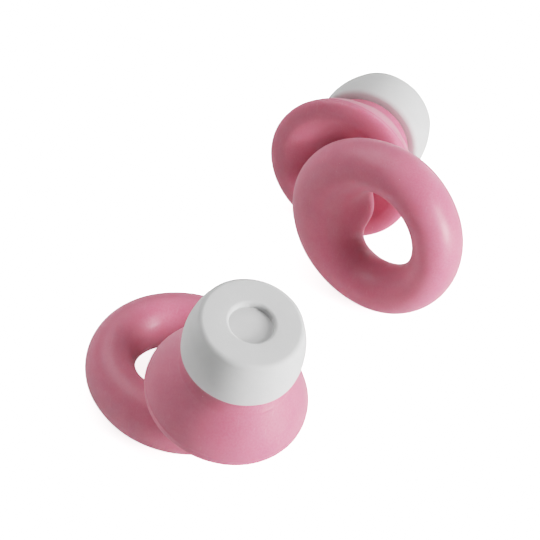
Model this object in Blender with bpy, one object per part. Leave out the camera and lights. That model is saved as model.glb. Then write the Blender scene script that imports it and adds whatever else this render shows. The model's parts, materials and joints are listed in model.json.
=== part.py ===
"""A pair of travel ear plugs with foam tips and silicone pull rings.

One plug stands on its pull ring and the other lies on its side, both on the floor z = 0.
Each plug is first built upright in its own frame: the plug's axis is +Z, the bell's rim
rests in the plane z = 0, the foam tip points up, and the pull ring hangs below the rim,
off to -X. An empty then carries the whole plug to its place. Lengths are in metres.
"""

import math

import bmesh
import bpy
from mathutils import Matrix, Vector

MM = 0.001

# Steps round each turned piece and along each kind of curve
SEGMENTS = 40
RIM_STEPS = 5
BELL_STEPS = 5
DISH_STEPS = 7
TIP_EDGE_STEPS = 5
TIP_FOOT_STEPS = 2
TIP_SIDE_STEPS = 3
RING_STEPS = 44
TUBE_STEPS = 16
NECK_FOOT_STEPS = 4
NECK_STEPS = 5

# Faces that meet at more than this angle keep a sharp edge
SHARP_ANGLE = math.radians(50.0)

# Gap between touching pieces
GAP = 0.10 * MM

# Bell: a swelling cone with a round rim, a shallow dish at the back and a collar in front
RIM_R = 7.75 * MM
RIM_ROUND = 0.8 * MM
RIM_WIDTH = 1.6 * MM
BELL_HEIGHT = 7.1 * MM
BELL_SWELL = 0.4 * MM
BELL_SWELL_SKEW = 1.0
COLLAR_R = 5.15 * MM
COLLAR_SHARE = 0.84
DISH_DEPTH = 2.4 * MM
DISH_POWER = 1.25
HUB_R = 2.3 * MM
HUB_FOOT_Z = 1.3 * MM

# Foam tip: a cone with a flat front, an overhanging base and a round recess
TIP_HEIGHT = 5.55 * MM
TIP_BASE_R = 5.6 * MM
TIP_FRONT_R = 5.0 * MM
TIP_SWELL = 0.3 * MM
TIP_EDGE_ROUND = 0.65 * MM
TIP_FOOT_ROUND = 0.2 * MM
RECESS_R = 2.2 * MM
RECESS_DEPTH = 0.7 * MM

# Sleeve inside the foam tip
SLEEVE_FLANGE_R = 3.2 * MM
SLEEVE_FLANGE = 0.5 * MM
SLEEVE_END = 0.7 * MM

# Stem: foot in the neck, shaft through the hub, groove and bead inside the sleeve
STEM_R = 1.15 * MM
STEM_GROOVE_R = 0.85 * MM
STEM_FOOT_R = 1.3 * MM
STEM_FOOT = 0.5 * MM
STEM_FOOT_Z = -0.3 * MM
STEM_NOSE = 0.4 * MM
BEAD_LENGTH = 1.3 * MM
GROOVE_LENGTH = 0.9 * MM

# Pull ring: an oval tube bent into a circle, wider where the neck joins it
RING_R = 6.75 * MM
RING_SQUEEZE = 0.98
TUBE_HALF_WIDTH = 2.4 * MM
TUBE_HALF_DEPTH = 2.85 * MM
TUBE_GROWTH = 0.45
RING_OFFSET = 7.35 * MM
RING_DROP = 6.2 * MM
RING_LEAN = math.radians(-10.5)

# Neck: a column that widens and shifts towards the ring's middle, with a round foot
NECK_TOP_R = 2.2 * MM
NECK_TOP_Z = HUB_FOOT_Z - GAP
NECK_FOOT_Z = -RING_DROP + 1.55 * MM
NECK_ROUND_Z = NECK_FOOT_Z + 1.6 * MM
NECK_ROUND_DEPTH = 2.0 * MM
NECK_WIDER_X = 0.45
NECK_WIDER_Y = 0.35
NECK_SHIFT = 3.3 * MM
NECK_BEND = 1.5

# Where the plugs lie: heading about +Z, then the dip of the axis below level, then the roll
STANDING_HEADING = math.radians(-55.5)
STANDING_PLACE = Vector((0.0, 0.0, 0.0))
LYING_HEADING = math.radians(71.1)
LYING_DIP = math.radians(7.8)
LYING_ROLL = math.radians(86.4)
LYING_PLACE = Vector((7.05, 32.7, 0.0)) * MM

SILICONE = (0.72, 0.31, 0.40)
FOAM = (0.80, 0.80, 0.79)
SLEEVE_WHITE = (0.82, 0.82, 0.81)
STEM_ROSE = (0.60, 0.22, 0.30)


def clear_scene():
    for thing in list(bpy.data.objects):
        bpy.data.objects.remove(thing, do_unlink=True)


def plain_material(name, colour, roughness):
    made = bpy.data.materials.new(name)
    made.use_nodes = True
    shader = made.node_tree.nodes["Principled BSDF"]
    shader.inputs["Base Color"].default_value = (*colour, 1.0)
    shader.inputs["Roughness"].default_value = roughness
    shader.inputs["Metallic"].default_value = 0.0
    return made


def materials():
    return {
        "silicone": plain_material("silicone", SILICONE, 0.55),
        "foam": plain_material("foam", FOAM, 0.95),
        "sleeve": plain_material("sleeve", SLEEVE_WHITE, 0.45),
        "stem": plain_material("stem", STEM_ROSE, 0.40),
    }


def arc(centre, radii, first_deg, last_deg, steps):
    """Points (r, z) round an arc of an ellipse, with both its ends."""
    points = []
    for step in range(steps + 1):
        angle = math.radians(first_deg + (last_deg - first_deg) * step / steps)
        points.append((centre[0] + radii[0] * math.cos(angle), centre[1] + radii[1] * math.sin(angle)))
    return points


def finished(name, mesh, material):
    """An object of this closed bmesh, shaded smooth, with its faces pointing out."""
    bmesh.ops.remove_doubles(mesh, verts=mesh.verts, dist=1e-7)
    bmesh.ops.recalc_face_normals(mesh, faces=mesh.faces)
    data = bpy.data.meshes.new(name)
    mesh.to_mesh(data)
    mesh.free()
    data.shade_smooth()
    data.set_sharp_from_angle(angle=SHARP_ANGLE)
    data.materials.append(material)
    made = bpy.data.objects.new(name, data)
    bpy.context.scene.collection.objects.link(made)
    return made


def spun(outline, steps):
    """A bmesh of this outline, a loop of (r, z) points, turned once about +Z.

    An edge that lies on the axis is left out, because it sweeps no face.
    """
    mesh = bmesh.new()
    corners = [mesh.verts.new((r, 0.0, z)) for r, z in outline]
    edges = []
    for first, second in zip(corners, corners[1:] + corners[:1]):
        if max(first.co.x, second.co.x) > 0.0:
            edges.append(mesh.edges.new((first, second)))
    bmesh.ops.spin(
        mesh,
        geom=corners + edges,
        cent=(0.0, 0.0, 0.0),
        axis=(0.0, 0.0, 1.0),
        angle=2.0 * math.pi,
        steps=steps,
    )
    return mesh


def turned(name, outline, material):
    return finished(name, spun(outline, SEGMENTS), material)


def helper(thing):
    """Marks a cutter or a joined shape, which isn't a piece itself."""
    thing.hide_render = True
    thing.display_type = "WIRE"
    return thing


def boolean(target, other, operation):
    modifier = target.modifiers.new(other.name, "BOOLEAN")
    modifier.operation = operation
    modifier.solver = "EXACT"
    modifier.object = other


def swollen(low, high, swell, skew, share):
    """Point (r, z) on a side from low (share 0) to high (share 1) that swells in between.

    A skew of 0 puts the most swelling halfway up, and a skew above 0 puts it lower down.
    """
    straight = low[0] + (high[0] - low[0]) * share
    bulge = swell * 4.0 * share * (1.0 - share) * (1.0 + skew * (1.0 - 2.0 * share))
    return straight + bulge, low[1] + (high[1] - low[1]) * share


def bell_outline():
    """Hub bore, front face, collar, swelling side, round rim, dish, and the hub's foot."""
    bore_r = STEM_R + GAP
    crest_r = RIM_R - RIM_WIDTH
    rim = (RIM_R, RIM_ROUND)
    collar_foot = (COLLAR_R, RIM_ROUND + (BELL_HEIGHT - RIM_ROUND) * COLLAR_SHARE)
    points = [(bore_r, HUB_FOOT_Z), (bore_r, BELL_HEIGHT), (COLLAR_R, BELL_HEIGHT)]
    for step in range(BELL_STEPS):
        share = 1.0 - step / BELL_STEPS
        points.append(swollen(rim, collar_foot, BELL_SWELL, BELL_SWELL_SKEW, share))
    points += arc((crest_r, RIM_ROUND), (RIM_WIDTH, RIM_ROUND), 0.0, -90.0, RIM_STEPS)
    for step in range(1, DISH_STEPS + 1):
        r = crest_r + (HUB_R - crest_r) * step / DISH_STEPS
        points.append((r, DISH_DEPTH * (1.0 - (r / crest_r) ** 2) ** DISH_POWER))
    points.append((HUB_R, HUB_FOOT_Z))
    return points


def foam_outline():
    """Socket for the sleeve's flange, base, flaring side, round front edge and recess."""
    foot_z = BELL_HEIGHT + GAP
    front_z = foot_z + TIP_HEIGHT
    socket_r = SLEEVE_FLANGE_R + GAP
    socket_z = foot_z + SLEEVE_FLANGE + GAP
    foot_centre = (TIP_BASE_R - TIP_FOOT_ROUND, foot_z + TIP_FOOT_ROUND)
    edge_centre = (TIP_FRONT_R - TIP_EDGE_ROUND, front_z - TIP_EDGE_ROUND)
    foot = arc(foot_centre, (TIP_FOOT_ROUND, TIP_FOOT_ROUND), -90.0, 0.0, TIP_FOOT_STEPS)
    edge = arc(edge_centre, (TIP_EDGE_ROUND, TIP_EDGE_ROUND), 10.0, 90.0, TIP_EDGE_STEPS)
    points = [(socket_r, foot_z)] + foot
    for step in range(1, TIP_SIDE_STEPS):
        points.append(swollen(foot[-1], edge[0], TIP_SWELL, 0.0, step / TIP_SIDE_STEPS))
    points += edge
    points += [(RECESS_R, front_z), (RECESS_R, socket_z), (socket_r, socket_z)]
    return points


def sleeve_outline():
    """Closed thimble: its end wall is the floor of the foam's recess."""
    foot_z = BELL_HEIGHT + GAP
    end_z = foot_z + TIP_HEIGHT - RECESS_DEPTH
    bore_r = STEM_R + GAP
    wall_r = RECESS_R - GAP
    flange_z = foot_z + SLEEVE_FLANGE
    points = [(0.0, end_z - SLEEVE_END), (bore_r, end_z - SLEEVE_END), (bore_r, foot_z)]
    points += [(SLEEVE_FLANGE_R, foot_z), (SLEEVE_FLANGE_R, flange_z), (wall_r, flange_z)]
    points += [(wall_r, end_z), (0.0, end_z)]
    return points


def stem_outline(swell=0.0):
    """Foot, shaft, groove and bead. swell widens it on every side, for the neck's cavity."""
    foot_top = STEM_FOOT_Z + STEM_FOOT
    end_z = BELL_HEIGHT + GAP + TIP_HEIGHT - RECESS_DEPTH - SLEEVE_END - GAP
    bead_z = end_z - BEAD_LENGTH
    groove_z = bead_z - GROOVE_LENGTH
    points = [(0.0, STEM_FOOT_Z - swell), (STEM_FOOT_R + swell, STEM_FOOT_Z - swell)]
    points += [(STEM_FOOT_R + swell, foot_top + swell), (STEM_R + swell, foot_top + swell)]
    points += [(STEM_R + swell, groove_z), (STEM_GROOVE_R + swell, groove_z)]
    points += [(STEM_GROOVE_R + swell, bead_z), (STEM_R + swell, bead_z)]
    points += [(STEM_R + swell, end_z - STEM_NOSE), (STEM_R - STEM_NOSE, end_z), (0.0, end_z)]
    return points


def pull_ring():
    """A bmesh of the ring in its place below the bell, its tube widest at the neck."""
    section = []
    for step in range(TUBE_STEPS):
        turn = 2.0 * math.pi * step / TUBE_STEPS
        r = RING_R + TUBE_HALF_WIDTH * math.cos(turn)
        section.append((r, TUBE_HALF_DEPTH * math.sin(turn)))
    ring = spun(section, RING_STEPS)
    for corner in ring.verts:
        out = Vector((corner.co.x, corner.co.y, 0.0))
        towards_neck = max(0.0, out.x / out.length)
        wider = 1.0 + TUBE_GROWTH * towards_neck**2
        out *= (RING_R + (out.length - RING_R) * wider) / out.length
        corner.co = Vector((out.x * RING_SQUEEZE, out.y, corner.co.z))
    lean = Matrix.Rotation(RING_LEAN, 4, "Y")
    move = Matrix.Translation((-RING_OFFSET, 0.0, -RING_DROP))
    bmesh.ops.transform(ring, matrix=move @ lean, verts=ring.verts)
    return ring


def neck():
    """A bmesh of the neck, which starts round at the hub and ends as an oval in the ring."""
    outline = []
    for step in range(NECK_FOOT_STEPS):
        turn = math.radians(90.0 * step / NECK_FOOT_STEPS)
        foot_z = NECK_ROUND_Z - NECK_ROUND_DEPTH * math.cos(turn)
        outline.append((NECK_TOP_R * math.sin(turn), foot_z))
    for step in range(NECK_STEPS + 1):
        outline.append((NECK_TOP_R, NECK_ROUND_Z + (NECK_TOP_Z - NECK_ROUND_Z) * step / NECK_STEPS))
    outline.append((0.0, NECK_TOP_Z))
    column = spun(outline, SEGMENTS)
    for corner in column.verts:
        share = max(0.0, (NECK_TOP_Z - corner.co.z) / (NECK_TOP_Z - NECK_FOOT_Z))
        share = min(1.0, share)
        corner.co.x = corner.co.x * (1.0 + NECK_WIDER_X * share) - NECK_SHIFT * share**NECK_BEND
        corner.co.y *= 1.0 + NECK_WIDER_Y * share
    return column


def ring_body(name, material):
    """The pull ring, joined to its neck, with a cavity for the stem and its foot."""
    body = finished(name, pull_ring(), material)
    boolean(body, helper(finished(name + "_neck", neck(), material)), "UNION")
    cavity = turned(name + "_cavity", stem_outline(GAP), material)
    boolean(body, helper(cavity), "DIFFERENCE")
    return body


def plug(suffix, finish):
    """The five pieces of one plug under the empty that carries it."""
    carrier = bpy.data.objects.new("plug_" + suffix, None)
    bpy.context.scene.collection.objects.link(carrier)
    pieces = [
        ring_body("ring_body_" + suffix, finish["silicone"]),
        turned("core_stem_" + suffix, stem_outline(), finish["stem"]),
        turned("bell_flange_" + suffix, bell_outline(), finish["silicone"]),
        turned("tip_sleeve_" + suffix, sleeve_outline(), finish["sleeve"]),
        turned("foam_tip_" + suffix, foam_outline(), finish["foam"]),
    ]
    for piece in pieces:
        piece.parent = carrier
        for modifier in piece.modifiers:
            modifier.object.parent = carrier
    return carrier, pieces


def box_of(pieces):
    """Lowest and highest corners of the finished meshes, in world space."""
    bpy.context.view_layer.update()
    graph = bpy.context.evaluated_depsgraph_get()
    points = []
    for piece in pieces:
        shown = piece.evaluated_get(graph)
        points += [shown.matrix_world @ vertex.co for vertex in shown.data.vertices]
    low = Vector(min(point[axis] for point in points) for axis in range(3))
    high = Vector(max(point[axis] for point in points) for axis in range(3))
    return low, high


def put(carrier, pieces, place, turn):
    """Turns the plug, moves it to its place and lowers it until it touches the floor."""
    carrier.matrix_world = Matrix.Translation(place) @ turn
    low, _ = box_of(pieces)
    carrier.matrix_world = Matrix.Translation(Vector((0.0, 0.0, -low.z))) @ carrier.matrix_world


def standing_turn():
    """Ring flat on the floor, so the plug's axis leans by the ring's own lean."""
    return Matrix.Rotation(STANDING_HEADING, 4, "Z") @ Matrix.Rotation(-RING_LEAN, 4, "Y")


def lying_turn():
    """Axis near level, with its foam end a little lower."""
    heading = Matrix.Rotation(LYING_HEADING, 4, "Z")
    level = Matrix.Rotation(math.radians(90.0) + LYING_DIP, 4, "Y")
    return heading @ level @ Matrix.Rotation(LYING_ROLL, 4, "Z")


def main():
    clear_scene()
    finish = materials()
    standing, standing_pieces = plug("a", finish)
    lying, lying_pieces = plug("b", finish)
    put(standing, standing_pieces, STANDING_PLACE, standing_turn())
    put(lying, lying_pieces, LYING_PLACE, lying_turn())
    low, high = box_of(standing_pieces + lying_pieces)
    middle = (low + high) / 2.0
    for carrier in (standing, lying):
        carrier.matrix_world = Matrix.Translation((-middle.x, -middle.y, 0.0)) @ carrier.matrix_world
    bpy.context.view_layer.update()


main()
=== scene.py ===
"""Two foam ear plugs with pull rings, one standing on its ring and one lying on its side.

Every piece is built in its plug's own frame, in millimetres: +Z runs along the plug's axis
towards the foam tip, the bell's rim rests in the plane z = 0, and the ring is off to -X.
"""

import json
import math

import bmesh
import bpy
import numpy as np
from mathutils import Matrix, Vector, noise


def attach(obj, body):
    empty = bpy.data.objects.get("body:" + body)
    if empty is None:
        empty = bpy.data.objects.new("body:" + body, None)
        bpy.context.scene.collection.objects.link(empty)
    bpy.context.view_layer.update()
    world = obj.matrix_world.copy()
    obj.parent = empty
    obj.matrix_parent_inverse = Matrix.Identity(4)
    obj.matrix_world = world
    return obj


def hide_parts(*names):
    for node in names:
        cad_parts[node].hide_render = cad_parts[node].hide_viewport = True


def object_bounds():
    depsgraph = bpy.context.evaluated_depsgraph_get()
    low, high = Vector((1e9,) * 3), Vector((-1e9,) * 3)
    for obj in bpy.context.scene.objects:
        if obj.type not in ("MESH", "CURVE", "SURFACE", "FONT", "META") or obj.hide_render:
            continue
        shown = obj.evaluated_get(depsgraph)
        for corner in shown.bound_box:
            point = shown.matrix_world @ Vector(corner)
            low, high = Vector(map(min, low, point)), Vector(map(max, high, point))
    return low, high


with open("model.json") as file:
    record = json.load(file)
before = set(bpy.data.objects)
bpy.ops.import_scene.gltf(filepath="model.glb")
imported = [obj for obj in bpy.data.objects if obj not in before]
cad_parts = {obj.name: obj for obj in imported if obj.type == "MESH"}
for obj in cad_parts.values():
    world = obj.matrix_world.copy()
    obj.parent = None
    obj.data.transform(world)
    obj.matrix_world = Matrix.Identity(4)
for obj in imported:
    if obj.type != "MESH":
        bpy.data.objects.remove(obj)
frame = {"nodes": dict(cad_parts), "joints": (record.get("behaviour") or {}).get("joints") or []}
cad_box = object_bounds()

MM = 0.001
TURN_STEPS = 160
ROUND_STEPS = 8
SHARP_ANGLE = math.radians(60.0)
TRUE_MARGIN = 0.3

# Bell: hollow back, rounded rim, swelling side, and a collar under the foam
RIM_ROUND = 0.8
RIM_WIDTH = 1.6
COLLAR_R = 4.75
COLLAR_SHARE = 0.84
BELL_SWELL = 0.3
BELL_SWELL_SKEW = 1.0
SIDE_STEPS = 110
COLLAR_STEPS = 6
RIM_STEPS = 40
DISH_DEPTH = 2.9
DISH_POWER = 1.8
DISH_STEPS = 36
DISH_END = 0.8
HUB_R = 2.3
HUB_FOOT_Z = 1.3

# Thin ridges round the bell's side: height up the bell, how far they stand out, half width
RIDGES = ((1.22, 0.045, 0.10), (5.30, 0.030, 0.12))

# Foam tip, sleeve and stem
TIP_BASE_R = 5.6
TIP_FRONT_R = 5.0
TIP_SWELL = 0.3
TIP_EDGE_ROUND = 0.58
TIP_FOOT_ROUND = 0.5
TIP_SIDE_STEPS = 16
RECESS_R = 2.1
RECESS_LIP_ROUND = 0.34
FLOOR_DOME = 0.10
FLOOR_STEPS = 9
FLANGE_R = 3.2
FLANGE = 0.5
SLEEVE_FIT = 0.01
SLEEVE_RELIEF = 0.1
SLEEVE_LIP = 0.3
SLEEVE_LIP_FOOT = 0.5
SLEEVE_END_WALL = 0.7
STEM_R = 1.15
GROOVE_R = 0.85
STEM_FOOT_R = 1.3
STEM_FOOT_HEIGHT = 0.5
GROOVE_START = 2.2
GROOVE_END = 1.3
CLEAR = 0.1

# Ring and neck
RING_R = 6.75
RING_SQUEEZE = 0.98
TUBE_WIDTH = 2.4
TUBE_DEPTH = 2.85
TUBE_GROWTH = 0.45
RING_OFFSET = 7.35
RING_DROP = 6.2
RING_LEAN = math.radians(-10.5)
NECK_R = 2.2
NECK_TOP_Z = HUB_FOOT_Z - CLEAR
NECK_FOOT_Z = -RING_DROP + 1.55
NECK_WIDER = (0.45, 0.35)
NECK_SHIFT = 3.3
NECK_BEND = 1.5
NECK_ROUND_Z = NECK_FOOT_Z + 1.6
NECK_ROUND_DEPTH = 2.0
BLEND = 2.2
VOXEL = 0.16
LONG_EDGE = 2.0
LONG_EDGE_CUTS = 24
FLATTEST = 0.05

# Camera response: light level that shows as white, points (light, shown) below it, and how
# much brighter the floor looks to the camera than paper would
WHITE_LEVEL = 4.0
SHOULDER = (
    (0.20, 0.200),
    (0.45, 0.405),
    (0.65, 0.527),
    (1.00, 0.655),
    (1.53, 0.776),
    (2.20, 0.860),
    (3.00, 0.940),
)
FLOOR_GAIN = 3.0
FLOOR_GLOW = 2.2

# Stage: how far the floor reaches each way, in metres, and how much light the surround gives
FLOOR_HALF = 1.5
WORLD_LIGHT = 0.10

# Camera: turn and height of its direction, its roll, its distance in metres, its lens in mm, its
# shift as a share of the picture's width, and its aim, in mm from the floor below the plugs
AZIMUTH = math.radians(-0.25)
ELEVATION = math.radians(44.78)
ROLL = math.radians(10.40)
DISTANCE = 0.2979
LENS = 203.9
SHIFT = (-0.0237037, -0.0230556)
AIM = (-0.14, -0.06, 8.0)

# Soft lamps: name, direction from the plugs, diameter in metres and power in watts
LAMP_DISTANCE = 0.6
LAMPS = (
    ("key", (0.90, -0.34, 0.20), 0.20, 5.0),
    ("side", (0.81, -0.26, 0.53), 0.24, 2.0),
    ("fill", (-0.45, 0.35, 0.80), 0.60, 3.0),
    ("edge", (0.50, 0.86, 0.16), 0.20, 0.6),
)


# ---------------------------------------------------------------- frames

def node_points(node):
    return np.array([vertex.co for vertex in frame["nodes"][node].data.vertices])


def plug_frame(suffix):
    """Matrix from the plug's own frame, in mm, to the row frame."""
    joint = next(j for j in frame["joints"] if j["name"] == "bell_turn_" + suffix)
    axis = Vector(joint["axis"]).normalized()
    hub = Vector(joint["pos_m"])
    along = (node_points("bell_flange_" + suffix) - np.array(hub)) @ np.array(axis)
    origin = hub + axis * float(along.min())
    towards_ring = Vector(node_points("ring_body_" + suffix).mean(axis=0)) - origin
    side = (towards_ring - axis * towards_ring.dot(axis)).normalized()
    y = axis.cross(-side)
    turn = Matrix((-side, y, axis)).transposed().to_4x4()
    return Matrix.Translation(origin) @ turn @ Matrix.Scale(MM, 4)


def local_points(node, to_row):
    """The corners of a CAD node in its plug's own frame."""
    points = node_points(node)
    inverse = np.array(to_row.inverted())
    return points @ inverse[:3, :3].T + inverse[:3, 3]


def reach(points):
    """Lowest z, highest z and largest radius of these points."""
    return points[:, 2].min(), points[:, 2].max(), np.hypot(points[:, 0], points[:, 1]).max()


# ---------------------------------------------------------------- outlines

def filleted(corners):
    """Closed outline of (r, z) points from corners (r, z, rounding)."""
    outline = []
    for index, (r, z, rounding) in enumerate(corners):
        here = Vector((r, z))
        if rounding <= 0.0:
            outline.append(here)
            continue
        back = Vector(corners[index - 1][:2]) - here
        ahead = Vector(corners[(index + 1) % len(corners)][:2]) - here
        half = back.angle(ahead) / 2.0
        reach_back = min(rounding / math.tan(half), back.length * 0.49, ahead.length * 0.49)
        radius = reach_back * math.tan(half)
        first = here + back.normalized() * reach_back
        last = here + ahead.normalized() * reach_back
        centre = here + (back.normalized() + ahead.normalized()).normalized() * radius / math.sin(half)
        for step in range(ROUND_STEPS + 1):
            spoke = (first - centre).slerp(last - centre, step / ROUND_STEPS)
            outline.append(centre + spoke.normalized() * radius)
    return [(point.x, point.y) for point in outline]


def arc(centre_r, centre_z, radius, first_deg, last_deg, steps):
    """Points (r, z) along an arc, from one angle to the other."""
    points = []
    for step in range(steps + 1):
        angle = math.radians(first_deg + (last_deg - first_deg) * step / steps)
        points.append((centre_r + radius * math.cos(angle), centre_z + radius * math.sin(angle)))
    return points


def swollen(low, high, swell, skew, share):
    """Point on a side that swells between low (share 0) and high (share 1), skewed towards low."""
    straight = low[0] + (high[0] - low[0]) * share
    bulge = swell * 4.0 * share * (1.0 - share) * (1.0 + skew * (1.0 - 2.0 * share))
    return straight + bulge, low[1] + (high[1] - low[1]) * share


def rim_points(rim_r):
    """The rim's round outer half, from its widest line to its crest."""
    points = []
    for step in range(RIM_STEPS + 1):
        angle = math.radians(-90.0 * step / RIM_STEPS)
        points.append((rim_r - RIM_WIDTH * (1.0 - math.cos(angle)), RIM_ROUND * (1.0 + math.sin(angle))))
    return points


def dish_z(r, crest_r):
    """Height of the bell's back, which rises gently from the rim's crest."""
    return DISH_DEPTH * (1.0 - (r / crest_r) ** 2) ** DISH_POWER


def ridge(z):
    """How far the ridges stand out at this height up the bell."""
    return sum(out * math.exp(-(((z - at) / width) ** 2)) for at, out, width in RIDGES)


def bell_outline(height, rim_r):
    """From the bore up over the collar, down the side, round the rim and back along the dish."""
    bore = STEM_R + CLEAR
    crest_r = rim_r - RIM_WIDTH
    low = (rim_r, RIM_ROUND)
    high = (COLLAR_R, RIM_ROUND + (height - RIM_ROUND) * COLLAR_SHARE)
    corners = [(bore, HUB_FOOT_Z, 0.0), (bore, height, 0.1), (COLLAR_R, height, 0.3)]
    corners.append((high[0], high[1], 0.5))
    for step in range(COLLAR_STEPS, SIDE_STEPS):
        r, z = swollen(low, high, BELL_SWELL, BELL_SWELL_SKEW, 1.0 - step / SIDE_STEPS)
        corners.append((r + ridge(z), z, 0.0))
    corners += [(r, z, 0.0) for r, z in rim_points(rim_r)]
    for step in range(1, DISH_STEPS):
        r = crest_r + (HUB_R + DISH_END - crest_r) * step / DISH_STEPS
        corners.append((r, dish_z(r, crest_r), 0.0))
    corners += [(HUB_R, dish_z(HUB_R, crest_r), 0.9), (HUB_R, HUB_FOOT_Z, 0.08)]
    return filleted(corners)


def tip_outline(foot, front):
    """Foam cone with a socket for the sleeve's flange and an open recess at the front."""
    socket_r = FLANGE_R + CLEAR
    socket_z = foot + FLANGE + CLEAR
    edge = arc(TIP_FRONT_R - TIP_EDGE_ROUND, front - TIP_EDGE_ROUND, TIP_EDGE_ROUND, 10.0, 90.0, 22)
    foot_arc = arc(TIP_BASE_R - TIP_FOOT_ROUND, foot + TIP_FOOT_ROUND, TIP_FOOT_ROUND, -90.0, 0.0, 12)
    side = []
    for step in range(1, TIP_SIDE_STEPS):
        side.append(swollen(foot_arc[-1], edge[0], TIP_SWELL, 0.0, step / TIP_SIDE_STEPS))
    corners = [(socket_r, foot, 0.1)]
    corners += [(r, z, 0.0) for r, z in foot_arc + side + edge]
    corners.append((RECESS_R, front, RECESS_LIP_ROUND))
    corners += [(RECESS_R, socket_z, 0.05), (socket_r, socket_z, 0.05)]
    return filleted(corners)


def sleeve_outline(foot, end):
    """Closed thimble, lipped at its end, whose end wall is the recess's barely domed floor."""
    lip_r = RECESS_R - SLEEVE_FIT
    wall_r = lip_r - SLEEVE_RELIEF
    bore = STEM_R + CLEAR
    bore_end = end - SLEEVE_END_WALL
    corners = [(0.0, bore_end, 0.0), (bore, bore_end, 0.1), (bore, foot, 0.1)]
    corners += [(FLANGE_R, foot, 0.12), (FLANGE_R, foot + FLANGE, 0.12)]
    corners += [(wall_r, foot + FLANGE, 0.15), (wall_r, end - SLEEVE_LIP_FOOT, 0.1)]
    corners += [(lip_r, end - SLEEVE_LIP, 0.1), (lip_r, end, 0.0)]
    for step in range(1, FLOOR_STEPS):
        r = lip_r * (1.0 - step / FLOOR_STEPS)
        corners.append((r, end + FLOOR_DOME * (1.0 - (r / lip_r) ** 2), 0.0))
    corners.append((0.0, end + FLOOR_DOME, 0.0))
    return filleted(corners)


def stem_outline(foot, end):
    """Foot, shaft, groove and bead."""
    foot_top = foot + STEM_FOOT_HEIGHT
    corners = [(0.0, foot, 0.0), (STEM_FOOT_R, foot, 0.12), (STEM_FOOT_R, foot_top, 0.12)]
    corners += [(STEM_R, foot_top, 0.12), (STEM_R, end - GROOVE_START, 0.15)]
    corners += [(GROOVE_R, end - GROOVE_START, 0.15), (GROOVE_R, end - GROOVE_END, 0.15)]
    corners += [(STEM_R, end - GROOVE_END, 0.15), (STEM_R, end, 0.4), (0.0, end, 0.0)]
    return filleted(corners)


# ---------------------------------------------------------------- meshes

def spun(outline):
    """A closed bmesh: this outline turned once about +Z."""
    mesh = bmesh.new()
    corners = [mesh.verts.new((max(0.0, r), 0.0, z)) for r, z in outline]
    edges = []
    for first, second in zip(corners, corners[1:] + corners[:1]):
        if max(first.co.x, second.co.x) > 1e-6:
            edges.append(mesh.edges.new((first, second)))
    bmesh.ops.spin(
        mesh,
        geom=corners + edges,
        cent=(0.0, 0.0, 0.0),
        axis=(0.0, 0.0, 1.0),
        angle=2.0 * math.pi,
        steps=TURN_STEPS,
    )
    bmesh.ops.remove_doubles(mesh, verts=mesh.verts, dist=1e-4)
    bmesh.ops.recalc_face_normals(mesh, faces=mesh.faces)
    return mesh


def uneven(mesh, height, size, seed):
    """Moves corners a little along their normals, except near the axis, where pieces fit."""
    mesh.normal_update()
    for corner in mesh.verts:
        spot = corner.co / size + Vector((seed, 2.0 * seed, -seed))
        share = min(1.0, max(0.0, math.hypot(corner.co.x, corner.co.y) - RECESS_R - TRUE_MARGIN))
        corner.co += corner.normal * height * share * noise.noise(spot)


def placed(name, mesh, to_row, material, body, stands_for):
    """Makes the object of this mesh, with its corners in their place, riding on its body."""
    data = bpy.data.meshes.new(name)
    mesh.to_mesh(data)
    mesh.free()
    data.transform(to_row)
    data.shade_smooth()
    data.set_sharp_from_angle(angle=SHARP_ANGLE)
    data.materials.append(material)
    made = bpy.data.objects.new(name, data)
    bpy.context.scene.collection.objects.link(made)
    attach(made, body)
    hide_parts(stands_for)


# ---------------------------------------------------------------- ring and neck

def ring_distance(points):
    """About how far each point is outside the ring's oval tube, in mm."""
    cos, sin = math.cos(RING_LEAN), math.sin(RING_LEAN)
    x = points[:, 0] + RING_OFFSET
    z = points[:, 2] + RING_DROP
    across = (cos * x - sin * z) / RING_SQUEEZE
    deep = sin * x + cos * z
    r = np.hypot(across, points[:, 1])
    towards_neck = np.clip(across / np.maximum(r, 1e-6), 0.0, None)
    width = TUBE_WIDTH * (1.0 + TUBE_GROWTH * towards_neck**2)
    level = np.sqrt(((r - RING_R) / width) ** 2 + (deep / TUBE_DEPTH) ** 2)
    return (level - 1.0) * np.minimum(width, TUBE_DEPTH)


def neck_share(z):
    """How far down the neck this height is, from 0 at its top to 1 at its foot."""
    return np.clip((NECK_TOP_Z - z) / (NECK_TOP_Z - NECK_FOOT_Z), 0.0, 1.0)


def neck_distance(points):
    """The same for the neck, which widens and shifts on its way down to a round foot."""
    share = neck_share(points[:, 2])
    x = (points[:, 0] + NECK_SHIFT * share**NECK_BEND) / (1.0 + NECK_WIDER[0] * share)
    y = points[:, 1] / (1.0 + NECK_WIDER[1] * share)
    below = np.clip(NECK_ROUND_Z - points[:, 2], 0.0, None) / NECK_ROUND_DEPTH
    level = np.sqrt((x**2 + y**2) / NECK_R**2 + below**2)
    side = (level - 1.0) * NECK_R
    return np.maximum(side, points[:, 2] - NECK_TOP_Z)


def body_distance(points):
    """Ring and neck joined by a round fillet."""
    ring, neck = ring_distance(points), neck_distance(points)
    mix = np.clip(0.5 + 0.5 * (neck - ring) / BLEND, 0.0, 1.0)
    return neck + (ring - neck) * mix - BLEND * mix * (1.0 - mix)


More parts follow.
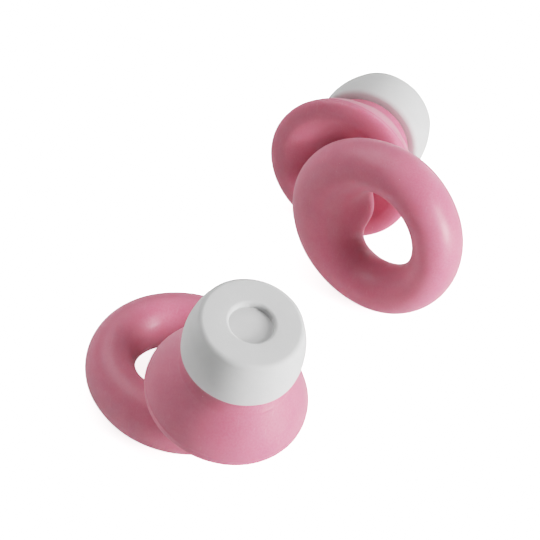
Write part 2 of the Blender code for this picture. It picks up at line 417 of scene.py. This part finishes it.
def drawn_to_surface(points, rounds=6):
    """Moves each point onto the joined surface, along its slope."""
    step = 1e-3
    for _ in range(rounds):
        here = body_distance(points)
        slope = np.empty_like(points)
        for axis in range(3):
            nudge = np.zeros(3)
            nudge[axis] = step
            slope[:, axis] = (body_distance(points + nudge) - body_distance(points - nudge)) / (2.0 * step)
        steepness = np.maximum((slope**2).sum(axis=1), FLATTEST)
        points = points - slope * (here / steepness)[:, None]
    return points


def rough_ring():
    """The ring as a closed mesh of an oval tube that is widest beside the neck."""
    mesh = bmesh.new()
    rows = []
    around, across = 120, 40
    for turn in range(around):
        a = 2.0 * math.pi * turn / around
        width = TUBE_WIDTH * (1.0 + TUBE_GROWTH * max(0.0, math.cos(a)) ** 2)
        row = []
        for side in range(across):
            b = 2.0 * math.pi * side / across
            r = RING_R + width * math.cos(b)
            spot = Vector((RING_SQUEEZE * r * math.cos(a), r * math.sin(a), TUBE_DEPTH * math.sin(b)))
            spot = Matrix.Rotation(RING_LEAN, 3, "Y") @ spot
            row.append(mesh.verts.new(spot + Vector((-RING_OFFSET, 0.0, -RING_DROP))))
        rows.append(row)
    for turn in range(around):
        this, following = rows[turn], rows[(turn + 1) % around]
        for side in range(across):
            other = (side + 1) % across
            mesh.faces.new((this[side], following[side], following[other], this[other]))
    return mesh


def rough_neck():
    """The neck as a closed mesh: a column with a round foot, widened and shifted."""
    outline = [(0.0, NECK_ROUND_Z - NECK_ROUND_DEPTH)]
    for step in range(1, 13):
        turn = math.radians(90.0 * step / 12.0)
        outline.append((NECK_R * math.sin(turn), NECK_ROUND_Z - NECK_ROUND_DEPTH * math.cos(turn)))
    outline += [(NECK_R, NECK_TOP_Z), (0.0, NECK_TOP_Z)]
    column = spun(outline)
    long_edges = [edge for edge in column.edges if edge.calc_length() > LONG_EDGE]
    bmesh.ops.subdivide_edges(column, edges=long_edges, cuts=LONG_EDGE_CUTS)
    for corner in column.verts:
        share = float(neck_share(corner.co.z))
        corner.co.x = corner.co.x * (1.0 + NECK_WIDER[0] * share) - NECK_SHIFT * share**NECK_BEND
        corner.co.y *= 1.0 + NECK_WIDER[1] * share
    return column


def rough_ring_body():
    """Ring and neck as two overlapping closed meshes in one bmesh."""
    mesh = rough_ring()
    column = rough_neck()
    joined = bpy.data.meshes.new("neck_column")
    column.to_mesh(joined)
    column.free()
    mesh.from_mesh(joined)
    bpy.data.meshes.remove(joined)
    bmesh.ops.recalc_face_normals(mesh, faces=mesh.faces)
    return mesh


def remeshed(mesh):
    """This bmesh as one even skin of quads."""
    data = bpy.data.meshes.new("rough")
    mesh.to_mesh(data)
    mesh.free()
    holder = bpy.data.objects.new("rough", data)
    bpy.context.scene.collection.objects.link(holder)
    modifier = holder.modifiers.new("skin", "REMESH")
    modifier.mode = "VOXEL"
    modifier.voxel_size = VOXEL
    bpy.context.view_layer.update()
    shown = holder.evaluated_get(bpy.context.evaluated_depsgraph_get())
    result = bmesh.new()
    result.from_mesh(shown.to_mesh())
    shown.to_mesh_clear()
    bpy.data.objects.remove(holder)
    bpy.data.meshes.remove(data)
    return result


def ring_body_mesh():
    """Ring and neck as one skin, with a fillet between them."""
    mesh = remeshed(rough_ring_body())
    points = drawn_to_surface(np.array([corner.co for corner in mesh.verts]))
    for corner, spot in zip(mesh.verts, points):
        corner.co = spot
    return mesh


# ---------------------------------------------------------------- materials

class Nodes:
    """A material's node tree, with short calls to add nodes and links to it."""

    def __init__(self, name):
        self.material = bpy.data.materials.new(name)
        self.material.use_nodes = True
        self.tree = self.material.node_tree
        self.shader = self.tree.nodes["Principled BSDF"]
        in_mm = self.add("ShaderNodeVectorMath", operation="SCALE")
        self.put(in_mm.inputs["Vector"], self.add("ShaderNodeTexCoord").outputs["Object"])
        self.put(in_mm.inputs["Scale"], 1.0 / MM)
        self.place = in_mm.outputs["Vector"]

    def add(self, kind, **settings):
        made = self.tree.nodes.new(kind)
        for key, value in settings.items():
            setattr(made, key, value)
        return made

    def put(self, socket, value):
        """Sets a socket to a value, or links an output to it."""
        if isinstance(value, bpy.types.NodeSocket):
            self.tree.links.new(value, socket)
        else:
            socket.default_value = value

    def stretched(self, scale):
        """The place, scaled by its own amount along each axis."""
        made = self.add("ShaderNodeMapping")
        self.put(made.inputs["Vector"], self.place)
        made.inputs["Scale"].default_value = scale
        return made.outputs["Vector"]

    def noise(self, scale, detail, roughness=0.5, place=None):
        made = self.add("ShaderNodeTexNoise")
        self.put(made.inputs["Vector"], place or self.place)
        made.inputs["Scale"].default_value = scale
        made.inputs["Detail"].default_value = detail
        made.inputs["Roughness"].default_value = roughness
        return made.outputs["Fac"]

    def cells(self, scale):
        """Distance from the middle of the nearest of many scattered cells."""
        made = self.add("ShaderNodeTexVoronoi")
        self.put(made.inputs["Vector"], self.place)
        made.inputs["Scale"].default_value = scale
        return made.outputs["Distance"]

    def spread(self, value, low, high, to_low=0.0, to_high=1.0):
        """The value mapped from low and high to two other values, and held between them."""
        made = self.add("ShaderNodeMapRange", clamp=True)
        self.put(made.inputs["Value"], value)
        made.inputs["From Min"].default_value = low
        made.inputs["From Max"].default_value = high
        made.inputs["To Min"].default_value = to_low
        made.inputs["To Max"].default_value = to_high
        return made.outputs["Result"]

    def maths(self, operation, first, second):
        made = self.add("ShaderNodeMath", operation=operation)
        self.put(made.inputs[0], first)
        self.put(made.inputs[1], second)
        return made.outputs["Value"]

    def mixed(self, share, first, second):
        """The first colour, with this share of the second."""
        made = self.add("ShaderNodeMix", data_type="RGBA")
        self.put(made.inputs["Factor"], share)
        self.put(made.inputs["A"], first)
        self.put(made.inputs["B"], second)
        return made.outputs["Result"]

    def bumped(self, height, strength, distance, under=None):
        """A normal that follows this height, on top of the normal under it."""
        made = self.add("ShaderNodeBump")
        made.inputs["Strength"].default_value = strength
        made.inputs["Distance"].default_value = distance
        self.put(made.inputs["Height"], height)
        if under is not None:
            self.put(made.inputs["Normal"], under)
        return made.outputs["Normal"]

    def shaded(self, **values):
        """Sets the shader's inputs, whose names are given with _ for each space."""
        for name, value in values.items():
            self.put(self.shader.inputs[name.replace("_", " ")], value)


def silicone():
    """Matt pink moulded silicone: fine grain, faint mottling, painted shade deepening the pink in hollows,
    rare dust and faint hair scratches.
    """
    nodes = Nodes("silicone_pink")
    grain = nodes.noise(9.0, 3.0, 0.65)
    mottle = nodes.spread(nodes.noise(0.55, 2.0), 0.3, 0.7)
    colour = nodes.mixed(mottle, (0.670, 0.185, 0.268, 1.0), (0.640, 0.166, 0.248, 1.0))
    fleck = nodes.spread(nodes.noise(5.0, 2.0, 0.6), 0.35, 0.65)
    colour = nodes.mixed(nodes.maths("MULTIPLY", fleck, 0.10), colour, (0.86, 0.40, 0.50, 1.0))

    # Painted shade: an ambient occlusion mask deepens the pink to dark red in hollows, creases and between
    # parts.
    hollow = nodes.add("ShaderNodeAmbientOcclusion", samples=6)
    hollow.inputs["Distance"].default_value = 4.0 * MM
    painted_hollow_shade = nodes.spread(hollow.outputs["AO"], 0.25, 0.9, 1.0, 0.0)
    colour = nodes.mixed(nodes.maths("MULTIPLY", painted_hollow_shade, 0.26), colour, (0.480, 0.060, 0.115, 1.0))

    speck = nodes.spread(nodes.cells(1.1), 0.035, 0.055, 1.0, 0.0)
    rare = nodes.spread(nodes.noise(0.9, 1.0), 0.50, 0.54)
    dust = nodes.maths("MULTIPLY", speck, rare)
    colour = nodes.mixed(nodes.maths("MULTIPLY", dust, 0.55), colour, (0.85, 0.60, 0.66, 1.0))
    streaks = nodes.noise(1.0, 0.0, 0.5, nodes.stretched((7.0, 0.35, 1.1)))
    scratch = nodes.spread(streaks, 0.76, 0.79)
    colour = nodes.mixed(nodes.maths("MULTIPLY", scratch, 0.10), colour, (0.85, 0.50, 0.58, 1.0))

    rough = nodes.spread(grain, 0.25, 0.75, 0.42, 0.58)
    rough = nodes.maths("ADD", rough, nodes.maths("MULTIPLY", scratch, 0.12))
    normal = nodes.bumped(grain, 0.35, 0.012 * MM)
    normal = nodes.bumped(nodes.noise(2.2, 2.0), 0.12, 0.05 * MM, normal)
    normal = nodes.bumped(dust, 0.40, 0.03 * MM, normal)
    coat_normal = nodes.bumped(nodes.noise(6.0, 2.0, 0.7), 0.60, 0.020 * MM, normal)
    nodes.shaded(
        Base_Color=colour,
        Roughness=rough,
        Normal=normal,
        IOR=1.43,
        Specular_IOR_Level=0.5,
        Coat_Weight=0.15,
        Coat_Roughness=0.20,
        Coat_Normal=coat_normal,
        Subsurface_Weight=0.55,
        Subsurface_Radius=(1.0, 0.28, 0.34),
        Subsurface_Scale=1.1 * MM,
        Sheen_Weight=0.10,
        Sheen_Roughness=0.45,
    )
    return nodes.material


def foam():
    """White closed-skin foam: tiny pores with painted shade in them, a soft sheen and a barely uneven
    skin.
    """
    nodes = Nodes("foam_white")
    pores = nodes.cells(7.0)
    mottle = nodes.noise(0.7, 3.0)
    patches = nodes.spread(mottle, 0.3, 0.7)
    colour = nodes.mixed(patches, (0.650, 0.652, 0.650, 1.0), (0.625, 0.627, 0.627, 1.0))
    # Painted shade: the grey is darkened a little at the middle of each pore, where the bump makes a pit.
    pore_shade = nodes.spread(pores, 0.05, 0.30, 1.0, 0.0)
    colour = nodes.mixed(nodes.maths("MULTIPLY", pore_shade, 0.06), colour, (0.50, 0.50, 0.50, 1.0))
    normal = nodes.bumped(pores, 0.35, 0.02 * MM)
    normal = nodes.bumped(nodes.noise(3.0, 4.0, 0.6), 0.30, 0.05 * MM, normal)
    nodes.shaded(
        Base_Color=colour,
        Roughness=nodes.spread(mottle, 0.3, 0.7, 0.60, 0.72),
        Normal=normal,
        Specular_IOR_Level=0.40,
        Subsurface_Weight=0.25,
        Subsurface_Radius=(1.0, 0.95, 0.9),
        Subsurface_Scale=0.5 * MM,
        Sheen_Weight=0.15,
        Sheen_Roughness=0.6,
    )
    return nodes.material


def moulded(name, light, dark, roughness):
    """Satin moulded plastic with a fine spark-eroded grain."""
    nodes = Nodes(name)
    grain = nodes.noise(12.0, 3.0, 0.6)
    nodes.shaded(
        Base_Color=nodes.mixed(nodes.spread(nodes.noise(0.8, 2.0), 0.3, 0.7), light, dark),
        Roughness=nodes.spread(grain, 0.3, 0.7, roughness - 0.06, roughness + 0.08),
        Normal=nodes.bumped(grain, 0.25, 0.012 * MM),
    )
    return nodes.material


def floor_material():
    """Pale paper that the camera sees overexposed, but that bounces light as paper does."""
    nodes = Nodes("floor_paper")
    paper = nodes.mixed(nodes.noise(40.0, 2.0), (0.90, 0.90, 0.90, 1.0), (0.92, 0.92, 0.92, 1.0))
    plain = nodes.add("ShaderNodeBsdfDiffuse")
    nodes.put(plain.inputs["Color"], paper)
    bright = nodes.add("ShaderNodeBsdfDiffuse")
    bright.inputs["Color"].default_value = (FLOOR_GAIN, FLOOR_GAIN, FLOOR_GAIN, 1.0)
    glow = nodes.add("ShaderNodeEmission")
    glow.inputs["Strength"].default_value = FLOOR_GLOW
    seen = nodes.add("ShaderNodeAddShader")
    nodes.put(seen.inputs[0], bright.outputs["BSDF"])
    nodes.put(seen.inputs[1], glow.outputs["Emission"])
    path = nodes.add("ShaderNodeLightPath")
    either = nodes.add("ShaderNodeMixShader")
    nodes.put(either.inputs["Fac"], path.outputs["Is Camera Ray"])
    nodes.put(either.inputs[1], plain.outputs["BSDF"])
    nodes.put(either.inputs[2], seen.outputs["Shader"])
    out = next(node for node in nodes.tree.nodes if node.type == "OUTPUT_MATERIAL")
    nodes.put(out.inputs["Surface"], either.outputs["Shader"])
    return nodes.material


# ---------------------------------------------------------------- plugs

def build_plug(suffix, seed, ring_mesh, finish):
    """Builds the five pieces of a plug around its CAD nodes."""
    to_row = plug_frame(suffix)

    def node_reach(node):
        return reach(local_points(node + "_" + suffix, to_row))

    def put(name, mesh, material, body, stands_for):
        names = [part + "_" + suffix for part in (name, body, stands_for)]
        placed(names[0], mesh, to_row, finish[material], names[1], names[2])

    _, height, rim_r = node_reach("bell_flange")
    tip_foot, tip_front, _ = node_reach("foam_tip")
    sleeve_foot, sleeve_end, _ = node_reach("tip_sleeve")
    stem_foot, stem_end, _ = node_reach("core_stem")

    bell = spun(bell_outline(height, rim_r))
    uneven(bell, 0.02, 5.0, seed)
    put("bell", bell, "silicone", "bell", "bell_flange")
    tip = spun(tip_outline(tip_foot, tip_front))
    uneven(tip, 0.03, 2.5, seed)
    put("foam", tip, "foam", "tip", "foam_tip")
    sleeve = spun(sleeve_outline(sleeve_foot, sleeve_end))
    put("sleeve", sleeve, "sleeve", "tip", "tip_sleeve")
    stem = spun(stem_outline(stem_foot, stem_end))
    put("stem", stem, "stem", "ring", "core_stem")
    ring = ring_mesh.copy()
    uneven(ring, 0.03, 5.0, seed)
    put("ring", ring, "silicone", "ring", "ring_body")


finish = {
    "silicone": silicone(),
    "foam": foam(),
    "sleeve": moulded("sleeve_white", (0.64, 0.64, 0.64, 1.0), (0.61, 0.61, 0.61, 1.0), 0.55),
    "stem": moulded("stem_rose", (0.60, 0.22, 0.30, 1.0), (0.54, 0.18, 0.26, 1.0), 0.45),
}
ring_mesh = ring_body_mesh()
build_plug("a", 3.0, ring_mesh, finish)
build_plug("b", 11.0, ring_mesh, finish)
ring_mesh.free()


# ---------------------------------------------------------------- stage, light, camera

def look(thing, place, target, roll=0.0):
    """Stands a lamp or a camera at place, facing target, turned by roll about its own axis."""
    thing.location = place
    facing = (Vector(target) - Vector(place)).to_track_quat("-Z", "Y")
    thing.rotation_euler = (facing.to_matrix() @ Matrix.Rotation(roll, 3, "Z")).to_euler()


def area_light(name, place, target, size, power):
    """A round soft lamp at place, facing target."""
    data = bpy.data.lights.new(name, "AREA")
    data.shape = "DISK"
    data.size = size
    data.energy = power
    lamp = bpy.data.objects.new(name, data)
    bpy.context.scene.collection.objects.link(lamp)
    look(lamp, place, target)


def make_floor():
    """A square floor round the plugs."""
    mesh = bmesh.new()
    bmesh.ops.create_grid(mesh, x_segments=8, y_segments=8, size=FLOOR_HALF)
    data = bpy.data.meshes.new("floor")
    mesh.to_mesh(data)
    mesh.free()
    data.materials.append(floor_material())
    made = bpy.data.objects.new("floor", data)
    bpy.context.scene.collection.objects.link(made)


def make_world():
    """An even white surround: faint as a light, and white to the camera."""
    world = bpy.data.worlds.new("studio")
    world.use_nodes = True
    background = world.node_tree.nodes["Background"]
    background.inputs["Color"].default_value = (1.0, 1.0, 1.0, 1.0)
    path = world.node_tree.nodes.new("ShaderNodeLightPath")
    level = world.node_tree.nodes.new("ShaderNodeMapRange")
    level.inputs["To Min"].default_value = WORLD_LIGHT
    level.inputs["To Max"].default_value = WHITE_LEVEL
    world.node_tree.links.new(path.outputs["Is Camera Ray"], level.inputs["Value"])
    world.node_tree.links.new(level.outputs["Result"], background.inputs["Strength"])
    bpy.context.scene.world = world


def make_camera():
    """The camera that sees both plugs from above, the standing one in front."""
    low, high = cad_box
    target = Vector(((low.x + high.x) / 2.0, (low.y + high.y) / 2.0, 0.0)) + Vector(AIM) * MM
    away = Vector((
        math.sin(AZIMUTH) * math.cos(ELEVATION),
        -math.cos(AZIMUTH) * math.cos(ELEVATION),
        math.sin(ELEVATION),
    ))
    data = bpy.data.cameras.new("camera")
    data.sensor_width = 36.0
    data.lens = LENS
    data.shift_x, data.shift_y = SHIFT
    data.clip_start = 0.01
    data.clip_end = 10.0
    camera = bpy.data.objects.new("camera", data)
    bpy.context.scene.collection.objects.link(camera)
    look(camera, target + away * DISTANCE, target, ROLL)
    bpy.context.scene.camera = camera


def camera_response(settings):
    """A camera's soft shoulder: bright light fades towards white instead of clipping."""
    settings.use_curve_mapping = True
    mapping = settings.curve_mapping
    mapping.white_level = (WHITE_LEVEL, WHITE_LEVEL, WHITE_LEVEL)
    mapping.extend = "HORIZONTAL"
    curve = mapping.curves[3]
    for light, shown in SHOULDER:
        curve.points.new(light / WHITE_LEVEL, shown)
    mapping.update()


make_floor()
make_world()
make_camera()
middle = (cad_box[0] + cad_box[1]) / 2.0
for name, towards, size, power in LAMPS:
    area_light(name, middle + Vector(towards).normalized() * LAMP_DISTANCE, middle, size, power)

scene = bpy.context.scene
scene.view_settings.view_transform = "Standard"
scene.view_settings.look = "None"
scene.cycles.use_denoising = True
camera_response(scene.view_settings)
